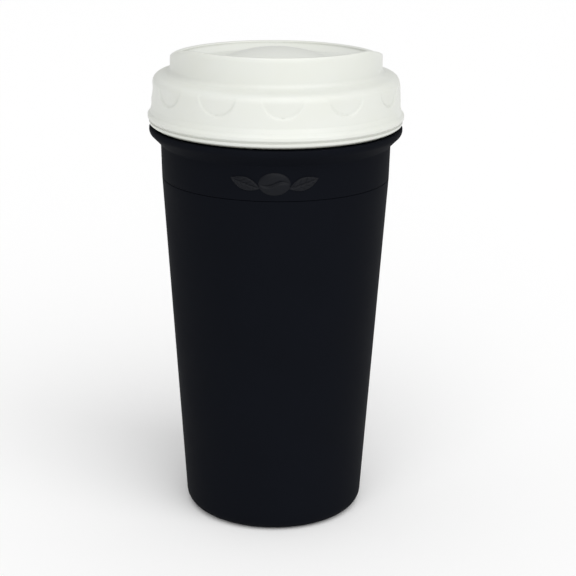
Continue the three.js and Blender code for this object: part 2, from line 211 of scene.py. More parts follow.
def rotated(obj, degrees):
    turn = math.radians(degrees)
    for vertex in obj.data.vertices:
        x, y = vertex.co.x, vertex.co.y
        vertex.co.x = x * math.cos(turn) - y * math.sin(turn)
        vertex.co.y = x * math.sin(turn) + y * math.cos(turn)
    obj.data.update()
    return obj


def finished(obj, material, body, slot, *nodes):
    obj.data.materials.clear()
    obj.data.materials.append(material)
    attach(obj, body)
    if nodes:
        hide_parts(*nodes)
    print("made", obj.name, len(obj.data.vertices), "points")
    return obj


# Materials

def addNode(tree, kind, settings=None, links=None):
    node = tree.nodes.new(kind)
    for key, value in (settings or {}).items():
        if isinstance(key, str) and hasattr(node, key):
            setattr(node, key, value)
        else:
            node.inputs[key].default_value = value
    for key, source in (links or {}).items():
        tree.links.new(source, node.inputs[key])
    return node


def newMaterial(name):
    material = bpy.data.materials.new(name)
    material.use_nodes = True
    material.node_tree.nodes.clear()
    return material, material.node_tree


# How many times a pattern repeats in a metre, from the size of one repeat in millimetres.
def perMetre(sizeInMm):
    return 1000 / sizeInMm


blackPlasticLook = {
    "colour": "#0B0D12",
    "palerColour": "#0F1117",
    "roughness": 0.7,
    "roughnessSpread": 0.05,
    "ior": 1.49,
    "gloss": 0.03,              # the grain traps light, so far less is mirrored than off a smooth skin
    "grain": 0.55,              # the mould's grain is about 0.2 mm; drawn coarser so that it shows
    "grainDepth": 0.012,
    "cloud": 26,                # slow change of tone from handling and mould flow
}


# Polypropylene from a spark-eroded mould: a fine even grain breaks up reflections, so it looks matte.
def makeBlackPolypropylene(name, look):
    material, tree = newMaterial(name)
    place = addNode(tree, "ShaderNodeTexCoord").outputs["Object"]
    cloud = addNode(tree, "ShaderNodeTexNoise",
                    {"Scale": perMetre(look["cloud"]), "Detail": 3.0, "Roughness": 0.55}, {"Vector": place})
    grain = addNode(tree, "ShaderNodeTexNoise",
                    {"Scale": perMetre(look["grain"]), "Detail": 2.0, "Roughness": 0.6}, {"Vector": place})
    colour = addNode(tree, "ShaderNodeMix",
                     {"data_type": "RGBA", 6: toLinear(look["colour"]), 7: toLinear(look["palerColour"])},
                     {0: cloud.outputs["Fac"]})
    roughness = addNode(tree, "ShaderNodeMapRange",
                        {"From Min": 0.3, "From Max": 0.7,
                         "To Min": look["roughness"] - look["roughnessSpread"],
                         "To Max": look["roughness"] + look["roughnessSpread"]},
                        {"Value": cloud.outputs["Fac"]})
    bump = addNode(tree, "ShaderNodeBump",
                   {"Strength": 0.5, "Distance": toMetres(look["grainDepth"])},
                   {"Height": grain.outputs["Fac"]})
    shader = addNode(tree, "ShaderNodeBsdfPrincipled",
                     {"IOR": look["ior"], "Specular IOR Level": look["gloss"]},
                     {"Base Color": colour.outputs[2], "Roughness": roughness.outputs["Result"],
                      "Normal": bump.outputs["Normal"]})
    addNode(tree, "ShaderNodeOutputMaterial", None, {"Surface": shader.outputs["BSDF"]})
    return material


whitePlasticLook = {
    "colour": "#DADCD8",
    "deeperColour": "#D6D8CF",
    "roughness": 0.36,
    "roughnessSpread": 0.05,
    "ior": 1.49,
    "glow": 0.08,               # light that wanders in the wall before it comes back
    "glowReach": 2.0,
    # painted shade colour for grooves and gaps
    "paintedShadeColour": "#8F9186",
    "paintedShadeReach": 1.2,        # width of a groove or gap that gets painted shade
    "ripple": 2.4,              # the skin's faint unevenness, as moulded
    "rippleDepth": 0.006,
    "cloud": 18,
}


# White polypropylene from a polished mould: a soft satin gloss, and slightly milky at its edges.
def makeWhitePolypropylene(name, look):
    material, tree = newMaterial(name)
    place = addNode(tree, "ShaderNodeTexCoord").outputs["Object"]
    cloud = addNode(tree, "ShaderNodeTexNoise",
                    {"Scale": perMetre(look["cloud"]), "Detail": 2.0, "Roughness": 0.5}, {"Vector": place})
    ripple = addNode(tree, "ShaderNodeTexNoise",
                     {"Scale": perMetre(look["ripple"]), "Detail": 1.0, "Roughness": 0.4}, {"Vector": place})
    colour = addNode(tree, "ShaderNodeMix",
                     {"data_type": "RGBA", 6: toLinear(look["colour"]), 7: toLinear(look["deeperColour"])},
                     {0: cloud.outputs["Fac"]})
    # Painted shade: the colour is darkened in grooves and gaps, where little light gets in.
    openness = addNode(tree, "ShaderNodeAmbientOcclusion",
                       {"samples": 8, "Distance": toMetres(look["paintedShadeReach"])})
    depth = addNode(tree, "ShaderNodeMapRange",
                    {"From Min": 0.45, "From Max": 0.95, "To Min": 1.0, "To Max": 0.0},
                    {"Value": openness.outputs["AO"]})
    shaded = addNode(tree, "ShaderNodeMix", {"data_type": "RGBA", 7: toLinear(look["paintedShadeColour"])},
                     {0: depth.outputs["Result"], 6: colour.outputs[2]})
    roughness = addNode(tree, "ShaderNodeMapRange",
                        {"From Min": 0.3, "From Max": 0.7,
                         "To Min": look["roughness"] - look["roughnessSpread"],
                         "To Max": look["roughness"] + look["roughnessSpread"]},
                        {"Value": cloud.outputs["Fac"]})
    bump = addNode(tree, "ShaderNodeBump",
                   {"Strength": 0.4, "Distance": toMetres(look["rippleDepth"])},
                   {"Height": ripple.outputs["Fac"]})
    shader = addNode(tree, "ShaderNodeBsdfPrincipled",
                     {"IOR": look["ior"], "Subsurface Weight": look["glow"],
                      "Subsurface Radius": (1.0, 0.95, 0.85),
                      "Subsurface Scale": toMetres(look["glowReach"])},
                     {"Base Color": shaded.outputs[2], "Roughness": roughness.outputs["Result"],
                      "Normal": bump.outputs["Normal"]})
    addNode(tree, "ShaderNodeOutputMaterial", None, {"Surface": shader.outputs["BSDF"]})
    return material


siliconeLook = {
    "colour": "#DADBD4",
    "deeperColour": "#CDCEC6",
    "roughness": 0.52,
    "ior": 1.41,
    "glow": 0.35,
    "glowReach": 1.2,
    "dust": 0.8,
    "dustDepth": 0.01,
}


# Moulded silicone rubber: soft, cloudy and a little powdery, with no sharp reflection.
def makeSilicone(name, look):
    material, tree = newMaterial(name)
    place = addNode(tree, "ShaderNodeTexCoord").outputs["Object"]
    dust = addNode(tree, "ShaderNodeTexNoise",
                   {"Scale": perMetre(look["dust"]), "Detail": 3.0}, {"Vector": place})
    colour = addNode(tree, "ShaderNodeMix",
                     {"data_type": "RGBA", 6: toLinear(look["colour"]), 7: toLinear(look["deeperColour"])},
                     {0: dust.outputs["Fac"]})
    bump = addNode(tree, "ShaderNodeBump",
                   {"Strength": 0.4, "Distance": toMetres(look["dustDepth"])},
                   {"Height": dust.outputs["Fac"]})
    shader = addNode(tree, "ShaderNodeBsdfPrincipled",
                     {"IOR": look["ior"], "Roughness": look["roughness"], "Subsurface Weight": look["glow"],
                      "Subsurface Radius": (1.0, 0.97, 0.9),
                      "Subsurface Scale": toMetres(look["glowReach"])},
                     {"Base Color": colour.outputs[2], "Normal": bump.outputs["Normal"]})
    addNode(tree, "ShaderNodeOutputMaterial", None, {"Surface": shader.outputs["BSDF"]})
    return material


blackPolypropylene = makeBlackPolypropylene("matteBlackPolypropylene", blackPlasticLook)
linerPolypropylene = makeBlackPolypropylene(
    "satinBlackPolypropylene",
    {**blackPlasticLook, "roughness": 0.34, "grain": 1.6, "grainDepth": 0.006})
reliefPolypropylene = makeBlackPolypropylene(
    "rubbedBlackPolypropylene",
    {**blackPlasticLook, "roughness": 0.46, "gloss": 0.14, "grainDepth": 0.004})
whitePolypropylene = makeWhitePolypropylene("satinWhitePolypropylene", whitePlasticLook)
siliconeRubber = makeSilicone("mouldedSilicone", siliconeLook)
acetal = makeWhitePolypropylene(
    "whiteAcetal", {**whitePlasticLook, "colour": "#E4E3DA", "deeperColour": "#DAD9CF", "roughness": 0.3})
print("materials ready")


# Cup

cup = {
    "baseRadius": 32.9,
    "baseCorner": 4.8,
    "floorCorner": 3.0,
    "footWidth": 4.5,
    "footRecess": 1.4,
    "footRound": 0.8,
    "shellWall": 1.8,
    "shellFloor": 2.0,
    "lipRound": 0.2,            # rounding of the two edges that meet at the seam line
    "seamGap": 0.15,
    "fit": 0.35,                # gap between pieces that are assembled for good
    "spigotWall": 1.5,
}
seamZ = topOf("outer_shell")
seamRadius = radiusOf("outer_shell")


def shellOuterAt(z):
    return cup["baseRadius"] + (seamRadius - cup["baseRadius"]) * z / seamZ


def shellInnerAt(z):
    return shellOuterAt(z) - cup["shellWall"]


def linerOuterAt(z):
    return shellInnerAt(z) - 2 * cup["fit"] - cup["spigotWall"]


def makeOuterShell():
    footRadius = shellOuterAt(cup["baseCorner"]) - cup["baseCorner"] - cup["footWidth"]
    floorTop = cup["footRecess"] + cup["shellFloor"]
    lipRound, footRound = cup["lipRound"], cup["footRound"]
    outline = filleted([
        (0, cup["footRecess"]),
        (footRadius - cup["footRecess"], cup["footRecess"], footRound),
        (footRadius, 0, footRound),
        (shellOuterAt(0), 0, cup["baseCorner"]),
        (shellOuterAt(seamZ), seamZ, lipRound),
        (shellInnerAt(seamZ), seamZ, lipRound),
        (shellInnerAt(floorTop), floorTop, cup["floorCorner"]),
        (0, floorTop),
    ])
    return turned("outerShell", divided(outline, 4, closed=False))


finished(makeOuterShell(), blackPolypropylene, "cup", "black_plastic", "outer_shell")

collar = {
    "bandProud": 1.2,           # band's radius over the thread root
    "bandTaper": 0.3,
    "flangeHeight": 6.1,
    "flangeRound": 3.0,         # between the flange's sloping underside and its upright edge
    "edgeRound": 0.5,
    "neckHeight": 12.8,
    "neckWall": 2.0,
    "threadDepth": 1.4,
    "threadCrest": 1.4,
    "threadFoot": 2.4,
    "threadStarts": 4,
    "threadLead": 20,
    "threadSweep": 120,
    "threadDrop": 2.73,         # from the neck's top down to the middle of a rib's high end
    "threadRunOut": 10,         # degrees over which a rib sinks into the neck at each end
    "threadRoot": 0.4,          # how deep a rib reaches into the wall that it grows from
    "threadEase": 0.22,         # rounding of a rib's crest
    "restTurn": 3.5,            # where the tight lid stops
}
neckTop = topOf("collar")
flangeTop = neckTop - collar["neckHeight"]
flangeRadius = radiusOf("collar")
flangeFoot = flangeTop - collar["flangeHeight"]
collarZ = seamZ + cup["seamGap"]
bandRadius = seamRadius + collar["bandTaper"]
neckRadius = bandRadius - collar["bandProud"]
mouthOuter = neckRadius - collar["neckWall"] - cup["fit"]
ribStart = neckTop - collar["threadDrop"] - collar["threadLead"] * collar["threadSweep"] / 360


# A rib of the thread. Its section is a trapezium with soft corners, and it sinks away at both ends.
def threadRib(name, root, tip, height, fromAngle, sweep):
    halfFoot, halfCrest, ease = collar["threadFoot"] / 2, collar["threadCrest"] / 2, collar["threadEase"]
    steps = int(sweep / 1.5)

    def sectionAt(share):
        ends = min(share, 1 - share) * sweep / collar["threadRunOut"]
        rise = math.sin(min(1, ends) * math.pi / 2)
        reach = root + (tip - root) * max(0.02, rise)
        z = height + collar["threadLead"] * share * sweep / 360
        slim = 0.35 + 0.65 * rise
        corner = (reach - root) * 0.18
        return [
            (root, z - halfFoot * slim),
            (reach - corner, z - halfCrest * slim - ease / 2),
            (reach, z - halfCrest * slim + ease),
            (reach, z + halfCrest * slim - ease),
            (reach - corner, z + halfCrest * slim + ease / 2),
            (root, z + halfFoot * slim),
        ]

    return swept(name, sectionAt, fromAngle, fromAngle + sweep, steps)


def makeCollar():
    spigotZ = bottomOf("collar")
    edgeZ = flangeFoot + flangeRadius - bandRadius      # the underside slopes at 45 degrees
    edge = collar["edgeRound"]
    outline = filleted([
        (linerOuterAt(spigotZ) + cup["fit"], spigotZ, 0.3),
        (shellInnerAt(spigotZ) - cup["fit"], spigotZ, 0.4),
        (shellInnerAt(seamZ) - cup["fit"], collarZ, 0.2),
        (seamRadius, collarZ, cup["lipRound"]),
        (bandRadius, flangeFoot, 1.2),
        (flangeRadius, edgeZ, collar["flangeRound"]),
        (flangeRadius, flangeTop, edge),
        (neckRadius, flangeTop, edge),
        (neckRadius, neckTop, edge),
        (mouthOuter + cup["fit"], neckTop, 0.4),
        (mouthOuter + cup["fit"], flangeTop, 1.0),
        (linerOuterAt(seamZ) + cup["fit"], seamZ, 1.0),
    ])
    obj = turned("collar", divided(outline, 3))
    spacing = 360 / collar["threadStarts"]
    ribs = [threadRib("rib", neckRadius - collar["threadRoot"], neckRadius + collar["threadDepth"],
                      ribStart, collar["restTurn"] + i * spacing, collar["threadSweep"])
            for i in range(collar["threadStarts"])]
    return combined(obj, ribs, "UNION")


finished(makeCollar(), blackPolypropylene, "cup", "black_plastic", "collar")

liner = {
    "wall": 1.6,
    "floor": 1.8,
    "corner": 5,
    "rimThickness": 1.5,
}
rimTop = topOf("inner_liner")


def makeLiner():
    bottom = bottomOf("inner_liner")
    rimRadius = radiusOf("inner_liner")
    wall = liner["wall"]
    outline = filleted([
        (0, bottom),
        (linerOuterAt(bottom), bottom, liner["corner"]),
        (linerOuterAt(seamZ), seamZ, 2),
        (mouthOuter, flangeTop, 2),
        (mouthOuter, rimTop - liner["rimThickness"], 0.2),
        (rimRadius, rimTop - liner["rimThickness"], 0.5),
        (rimRadius, rimTop, 0.7),
        (mouthOuter - wall, rimTop, 0.7),
        (mouthOuter - wall, flangeTop, 2),
        (linerOuterAt(seamZ) - wall, seamZ, 2),
        (linerOuterAt(bottom) - wall, bottom + liner["floor"], liner["corner"] - wall),
        (0, bottom + liner["floor"]),
    ])
    return turned("innerLiner", divided(outline, 4, closed=False))


finished(makeLiner(), linerPolypropylene, "cup", "liner_plastic", "inner_liner")

# Emblem on the band: a coffee bean between two leaves, as a low relief.
emblem = {
    "height": 0.7,
    "beanLength": 11,
    "beanWidth": 8,
    "creaseWidth": 0.55,
    "creaseDepth": 0.85,        # as a share of the bean's height
    "leafLength": 11,
    "leafWidth": 4.6,
    "leafDegrees": 14,
    "leafTilt": 18,
    "veinCount": 5,
    "ribWidth": 0.3,
    "skirt": 0.3,               # how deep its edge goes into the band
}
emblemZ = (collarZ + flangeFoot) / 2


# Lays a polar grid on the band. outlineAt(angle) gives its edge, heightAt(x, y, share) its relief.
def reliefOnBand(name, outlineAt, heightAt, degrees, tilt, rings=26, spokes=120):
    turn = math.radians(tilt)
    vertices, faces = [], []

    def place(x, y, lift):
        px = x * math.cos(turn) - y * math.sin(turn)
        py = x * math.sin(turn) + y * math.cos(turn)
        z = emblemZ + py
        radius = seamRadius + (bandRadius - seamRadius) * (z - collarZ) / (flangeFoot - collarZ) + lift
        angle = math.radians(degrees) + px / bandRadius
        vertices.append((radius * math.sin(angle) / 1000, -radius * math.cos(angle) / 1000, z / 1000))

    place(0, 0, heightAt(0, 0, 0))
    for ring in range(1, rings + 1):
        share = 1 - (1 - ring / rings) ** 1.6
        for spoke in range(spokes):
            x, y = outlineAt(2 * math.pi * spoke / spokes)
            place(x * share, y * share, heightAt(x * share, y * share, share))
    for spoke in range(spokes):
        x, y = outlineAt(2 * math.pi * spoke / spokes)
        place(x, y, -emblem["skirt"])
    place(0, 0, -emblem["skirt"])
    for spoke in range(spokes):
        after = (spoke + 1) % spokes
        faces.append((0, 1 + spoke, 1 + after))
        for ring in range(rings):
            inner, outer = 1 + ring * spokes, 1 + (ring + 1) * spokes
            faces.append((inner + spoke, outer + spoke, outer + after, inner + after))
        last = 1 + rings * spokes
        faces.append((len(vertices) - 1, last + after, last + spoke))
    return makeObject(name, vertices, faces)


def roundedEdge(share):
    return math.sqrt(max(0.0, 1 - share ** 6))


def beanOutline(angle):
    return emblem["beanLength"] / 2 * math.cos(angle), emblem["beanWidth"] / 2 * math.sin(angle)


def beanHeight(x, y, share):
    crease = 0.8 * math.sin(x / emblem["beanLength"] * 2 * math.pi)
    groove = math.exp(-((y - crease) / emblem["creaseWidth"]) ** 2)
    crown = 0.35 + 0.65 * math.sqrt(1 - share ** 2)
    return emblem["height"] * crown * roundedEdge(share) * (1 - emblem["creaseDepth"] * groove)


def leafOutline(angle):
    x = emblem["leafLength"] / 2 * math.cos(angle)
    share = abs(math.cos(angle))
    y = emblem["leafWidth"] / 2 * math.copysign(1 - share ** 2, math.sin(angle))
    return x, y


def leafHeight(x, y, share):
    rib = math.exp(-(y / emblem["ribWidth"]) ** 2)
    wave = math.cos((abs(y) * 1.1 - x) * 2 * math.pi * emblem["veinCount"] / emblem["leafLength"])
    vein = max(0.0, wave) ** 6 * (1 - rib)
    return emblem["height"] * 0.8 * roundedEdge(share) * (1 - 0.7 * rib - 0.35 * vein)


bean = reliefOnBand("emblemBean", beanOutline, beanHeight, 0, 0)
finished(bean, reliefPolypropylene, "cup", "black_plastic")
for side, name in ((-1, "emblemLeafLeft"), (1, "emblemLeafRight")):
    leaf = reliefOnBand(name, leafOutline, leafHeight,
                        side * emblem["leafDegrees"], side * emblem["leafTilt"])
    finished(leaf, reliefPolypropylene, "cup", "black_plastic")
print("cup ready")


# Lid

lid = {
    "wall": 1.9,
    "threadRoom": 1.1,
    "skirtTaper": 0.4,
    "beadHeight": 4.3,
    "beadEase": 2.6,            # height over which the bead runs out into the skirt
    "grooveHeight": 2.3,        # a fine line round the bead, above its lower edge
    "grooveDepth": 0.35,
    "grooveStep": 0.4,          # the bead's lower ring lies so much further in
    "chamfer": 2.0,             # width of the slope under the lower ring
    "shoulderRise": 3.8,
    "shoulderRound": 3.4,
    "shoulderSlope": 15,        # of the ledge between the shoulder and the crown
    "crownWall": 1.9,
    "crownEdge": 0.5,           # rounding of the crown's two top edges
    "crownInset": 2.4,
    "crownFillet": 2.2,
    "crownDrop": 2.8,           # from the deck down to the foot of the crown
    "rimRise": 2.8,             # top of the crown at the back, above the deck
    "lipRise": 5.0,             # top of the crown at the front, above its top at the back
    "lipFull": 50,
    "lipEnd": 100,
    "lipFoot": 1.0,
    "deckThickness": 1.8,
    "bowlWidth": 3.6,           # sloping border between the deck and the crown
    "bowlFillet": 2.5,
    "bowlFoot": 0.3,
    "plugWall": 1.6,
    "plugDepth": 2.0,
    "gasketRoom": 0.35,
    "lugSweep": 40,
    "flankGap": 0.35,
    "pocketCount": 12,
    "pocketWidth": 15,
    "pocketDepth": 0.5,
    "pocketFloor": 9.8,         # height of its lowest point above the lid's bottom edge
    "pocketEdge": 0.6,          # width of the soft step at its edge
    "pocketSides": 0.5,         # height above its lowest point up to which a pocket is full depth
    "pocketRunOut": 9.0,        # height where it has run out
    "sipWidth": 12,
    "sipDepth": 4.8,
    "sipSetback": 5.6,
    "ventRadius": 1.2,
    "ventShare": 0.3,           # how far out the vent lies between the hub and the dome's edge
    "stopHeight": 1.8,
    "stopDegrees": 3,
}
lidBottom = bottomOf("lid_shell")
lipZ = topOf("lid_shell")
rimZ = lipZ - lid["lipRise"]
deckZ = rimZ - lid["rimRise"]
deckUnder = deckZ - lid["deckThickness"]
crownFoot = deckZ - lid["crownDrop"]
skirtTop = crownFoot - lid["shoulderRise"]
skirtInner = neckRadius + collar["threadDepth"] + lid["threadRoom"]
skirtOuter = skirtInner + lid["wall"]
beadRadius = radiusOf("lid_shell")
crownRadius = neckRadius - lid["crownInset"]
crownInner = crownRadius - lid["crownWall"]
gasketTop = topOf("lid_gasket")
plugOuter = mouthOuter - liner["wall"] - cup["fit"]
sipOuter = crownInner - lid["sipSetback"]
sipInner = sipOuter - lid["sipDepth"]

dial = {
    "travel": 60,
    "domeWall": 1.6,
    "domeBorder": 2.4,          # from the seal's recess to the dome's edge
    "edgeRound": 0.5,
    "tongueDegrees": 24,
    "tongueThickness": 2.4,
    "tongueOverlap": 1.6,
    "tongueRound": 0.7,
    "thumbHeight": 2.7,
    "thumbDegrees": 12,
    "thumbTaper": 1.6,
    "sealThickness": 1.1,
    "sealBorder": 0.6,
    "sealDegrees": 17,
    "ventSealBorder": 1.2,
    "ventBossBorder": 1.4,
    "runGap": 0.3,
    "stemRadius": 3.0,
    "stemFit": 0.4,
    "hubRadius": 5.6,
    "hubLift": 1.6,
    "clipThickness": 0.9,
    "clipRadius": 6.0,
    "clipNeck": 2.1,            # stem's radius in the groove that holds the clip
    "clipMouth": 34,            # degrees from the middle of the clip's mouth to each of its sides
}
dialBottom = deckZ + dial["runGap"]
domeRise = topOf("sip_dial") - dialBottom
domeEdge = sipInner - dial["sealBorder"] - dial["runGap"] - dial["domeBorder"]
domeCurve = (domeEdge ** 2 + domeRise ** 2) / (2 * domeRise)
domeCentre = dialBottom + domeRise - domeCurve
ventDistance = dial["hubRadius"] + (domeEdge - dial["hubRadius"]) * lid["ventShare"]


# The crown's wall grows into the drinking lip at the front, and pockets are pressed into the skirt.
def bendLid(radius, angle, z):
    degrees = np.degrees((angle + math.pi) % (2 * math.pi) - math.pi)
    foot = deckZ + lid["lipFoot"]
    share = np.clip((z - foot) / (rimZ - foot), 0, None)
    lip = 1 - smoothStep(np.abs(degrees), lid["lipFull"], lid["lipEnd"])
    lifted = z + share * lid["lipRise"] * lip
    spacing = 360 / lid["pocketCount"]
    across = (degrees + spacing / 2) % spacing - spacing / 2
    x = np.radians(across) * skirtOuter
    half = lid["pocketWidth"] / 2
    lowest = lidBottom + lid["pocketFloor"]
    inside = half - np.hypot(x, np.minimum(z - lowest - half, 0))
    full = 1 - smoothStep(z, lowest + lid["pocketSides"], lowest + lid["pocketRunOut"])
    depth = lid["pocketDepth"] * smoothStep(inside, 0, lid["pocketEdge"]) * full
    outside = radius > (skirtInner + skirtOuter) / 2
    return radius - np.where(outside, depth, 0), angle, lifted


def makeLidShell():
    lowest = lidBottom + lid["pocketFloor"]
    beadTop = lidBottom + lid["beadHeight"]
    seat = gasketTop + lid["gasketRoom"]
    topOuter = skirtOuter - lid["skirtTaper"]
    groove = lidBottom + lid["grooveHeight"]
    beadLower = beadRadius - lid["grooveStep"]
    slope = math.radians(lid["shoulderSlope"])
    ledgeShare = 1 - math.cos(slope) + (1 - math.sin(slope)) * math.tan(slope)
    ledgeInner = crownFoot + lid["crownFillet"] * ledgeShare
    ledgeOuter = ledgeInner - (topOuter - crownRadius) * math.tan(slope)
    outline = filleted([
        (skirtInner + 0.4, lidBottom, 0.3),
        (beadRadius - lid["chamfer"], lidBottom, 0.6),
        (beadRadius - 0.6, lidBottom + 1.0, 0.5),
        (beadLower, groove - 0.45, 0.3),
        (beadLower - lid["grooveDepth"], groove, 0.25),
        (beadRadius, groove + 0.75, 0.4),
        (beadRadius, beadTop - 0.2, 0.6),
        (skirtOuter + 0.55, beadTop + lid["beadEase"] * 0.3, 0.8),
        (skirtOuter, beadTop + lid["beadEase"], 2),
        (topOuter, ledgeOuter, lid["shoulderRound"]),
        (crownRadius, ledgeInner, lid["crownFillet"]),
        (crownRadius, rimZ, lid["crownEdge"]),
        (crownInner, rimZ, lid["crownEdge"]),
        (crownInner, rimZ - lid["crownEdge"] - lid["bowlFoot"], 0.3),
        (crownInner - lid["bowlWidth"], deckZ, lid["bowlFillet"]),
        (dial["stemRadius"] + dial["stemFit"], deckZ, 0.3),
        (dial["stemRadius"] + dial["stemFit"], deckUnder, 0.3),
        (plugOuter - lid["plugWall"], deckUnder, 1.0),
        (plugOuter - lid["plugWall"], rimTop - lid["plugDepth"], 0.5),
        (plugOuter, rimTop - lid["plugDepth"], 0.5),
        (plugOuter, seat, 0.3),
        (neckRadius + cup["fit"], seat, 0.5),
        (skirtInner - 0.4, skirtTop + 0.4, 1.5),
        (skirtInner, skirtTop - 6, 3),
    ])
    return turned("lidShell", divided(outline, 2.4, fine=(lowest - 1, lowest + 10, 0.4)), 720, bendLid)


def makeLugs():
    lead = (collar["threadSweep"] - lid["lugSweep"]) / 2
    drop = (collar["threadFoot"] + collar["threadCrest"]) / 2 + lid["flankGap"]
    height = ribStart + collar["threadLead"] * lead / 360 - drop
    spacing = 360 / collar["threadStarts"]
    return [threadRib("lug", skirtInner + collar["threadRoot"], neckRadius + lid["flankGap"], height,
                      lead + i * spacing, lid["lugSweep"])
            for i in range(collar["threadStarts"])]


# A block between two radii with rounded upper corners, as a closed section for swept().
def blockSection(inner, outer, bottom, top, corner=0.4, taper=0):
    return filleted([(inner, bottom), (outer, bottom),
                     (outer - taper, top, corner), (inner + taper, top, corner)], 3)


def makeStops():
    reach = dial["tongueDegrees"] + 1
    section = blockSection(sipInner + 1, sipOuter + 1, deckZ - 0.4, deckZ + lid["stopHeight"])
    starts = (-reach - lid["stopDegrees"], dial["travel"] + reach)
    return [swept("stop", lambda share: section, start, start + lid["stopDegrees"], 4) for start in starts]


# A cutter for a hole with softly flared edges.
# outline(grow) gives the hole's (x, y) points, grown by that much.
def holeCutter(name, outline, bottom, top, flare=0.45):
    levels = [(bottom - 1, flare), (bottom, flare), (bottom + flare, 0), (top - flare, 0), (top, flare),
              (top + 1, flare)]
    vertices = [(x / 1000, y / 1000, z / 1000) for z, grow in levels for x, y in outline(grow)]
    count = len(vertices) // len(levels)
    faces = [tuple(range(count)), tuple(range(len(vertices) - count, len(vertices)))]
    for level in range(len(levels) - 1):
        for k in range(count):
            a, b = level * count + k, level * count + (k + 1) % count
            faces.append((a, b, b + count, a + count))
    return makeObject(name, vertices, faces)


def sipOutline(grow):
    endRound = lid["sipDepth"] / 2
    reach = lid["sipWidth"] / 2 - endRound
    middle = -(sipInner + sipOuter) / 2
    points = []
    for side, start in ((1, -90), (-1, 90)):
        for k in range(17):
            angle = math.radians(start + 180 * k / 16)
            points.append((side * reach + (endRound + grow) * math.cos(angle),
                           middle + (endRound + grow) * math.sin(angle)))
    return points


def ventOutline(grow):
    radius = lid["ventRadius"] + grow
    angles = [2 * math.pi * k / 32 for k in range(32)]
    return [(radius * math.cos(a), ventDistance + radius * math.sin(a)) for a in angles]


lidShell = combined(makeLidShell(), makeLugs() + makeStops(), "UNION")
holes = [holeCutter("sipCutter", sipOutline, deckUnder, deckZ),
         holeCutter("ventCutter", ventOutline, deckUnder, deckZ, 0.25)]
lidShell = rotated(combined(lidShell, holes, "DIFFERENCE"), collar["restTurn"])
finished(lidShell, whitePolypropylene, "lid", "white_plastic", "lid_shell")


def makeGasket():
    bottom, outer = bottomOf("lid_gasket"), radiusOf("lid_gasket")
    inner = plugOuter + cup["fit"]
    middle = (bottom + gasketTop) / 2
    outline = filleted([
        (inner, bottom, 0.35),
        (outer, bottom, 0.35),
        (outer, middle - 0.25, 0.1),
        (outer - 0.35, middle, 0.1),
        (outer, middle + 0.25, 0.1),
        (outer, gasketTop, 0.35),
        (inner, gasketTop, 0.35),
    ])
    return turned("lidGasket", outline)


finished(makeGasket(), siliconeRubber, "gasket", "silicone", "lid_gasket")
print("lid ready")


# Dial

def domeArc(fromRadius, toRadius, curve, steps=24):
    radii = [fromRadius + (toRadius - fromRadius) * k / steps for k in range(steps + 1)]
    return [(r, domeCentre + math.sqrt(curve ** 2 - r ** 2)) for r in radii]


def domeRadiusAt(z, curve):
    return math.sqrt(curve ** 2 - (z - domeCentre) ** 2)


def makeDial():
    innerCurve = domeCurve - dial["domeWall"]
    edgeRound = dial["edgeRound"]
    edge = domeRadiusAt(dialBottom + edgeRound, domeCurve)
    innerEdge = domeRadiusAt(dialBottom, innerCurve)
    stem, neck = dial["stemRadius"], dial["clipNeck"]
    clipTop = deckUnder - 2 * cup["fit"]
    clipBottom = clipTop - dial["clipThickness"] - 2 * cup["fit"]
    tail = bottomOf("sip_dial")
    outline = filleted([
        (0, tail),
        (stem - 0.2, tail, 0.5),
        (stem, clipBottom, 0.2),
        (neck, clipBottom, 0.1),
        (neck, clipTop, 0.1),
        (stem, clipTop, 0.2),
        (stem, deckZ + dial["hubLift"], 0.3),
        (dial["hubRadius"], deckZ + dial["hubLift"], 0.4),
        *domeArc(dial["hubRadius"] + 0.1, innerEdge, innerCurve),
        (domeRadiusAt(dialBottom, domeCurve) - 0.1, dialBottom, edgeRound * 0.8),
        *domeArc(edge, 0, domeCurve),
    ])
    return turned("sipDial", divided(outline, 1.5, closed=False), sides=240)


def makeTongue():
    top = dialBottom + dial["tongueThickness"]
    inner = domeRadiusAt(top, domeCurve) - 0.4
    outer = sipOuter + dial["tongueOverlap"]
    plate = blockSection(inner, outer, dialBottom, top, dial["tongueRound"])
    ridge = blockSection(sipInner - dial["sealBorder"], sipOuter, top - 0.4, top + dial["thumbHeight"],
                         dial["tongueRound"], dial["thumbTaper"])
    wide, narrow = dial["tongueDegrees"], dial["thumbDegrees"]
    return [swept("plate", lambda share: plate, -wide, wide, 40),
            swept("ridge", lambda share: ridge, -narrow, narrow, 24)]


def makeVentBoss():
    radius = lid["ventRadius"] + dial["ventBossBorder"]
    bottom = dialBottom + dial["sealThickness"] + cup["fit"]
    top = domeCentre + math.sqrt((domeCurve - dial["domeWall"]) ** 2 - (ventDistance + radius) ** 2) + 0.4
    sides = 40
    angles = [2 * math.pi * k / sides for k in range(sides)]
    vertices = [(radius * math.cos(a) / 1000, (ventDistance + radius * math.sin(a)) / 1000, z / 1000)
                for z in (bottom, top) for a in angles]
    faces = [tuple(range(sides)), tuple(range(sides, 2 * sides))]
    faces += [(k, (k + 1) % sides, sides + (k + 1) % sides, sides + k) for k in range(sides)]
    return makeObject("ventBoss", vertices, faces)


def makeSealRecess():
    top = dialBottom + dial["sealThickness"] + dial["runGap"]
    inner = sipInner - dial["sealBorder"] - dial["runGap"]
    outer = sipOuter + dial["sealBorder"] + dial["runGap"]
    reach = dial["sealDegrees"] + 1
    section = [(inner, dialBottom - 1), (outer, dialBottom - 1), (outer, top), (inner, top)]
    return swept("recess", lambda share: section, -reach, reach, 24)


sipDial = combined(makeDial(), makeTongue() + [makeVentBoss()], "UNION")
sipDial = rotated(combined(sipDial, [makeSealRecess()], "DIFFERENCE"), collar["restTurn"])
finished(sipDial, whitePolypropylene, "dial", "white_plastic", "sip_dial")


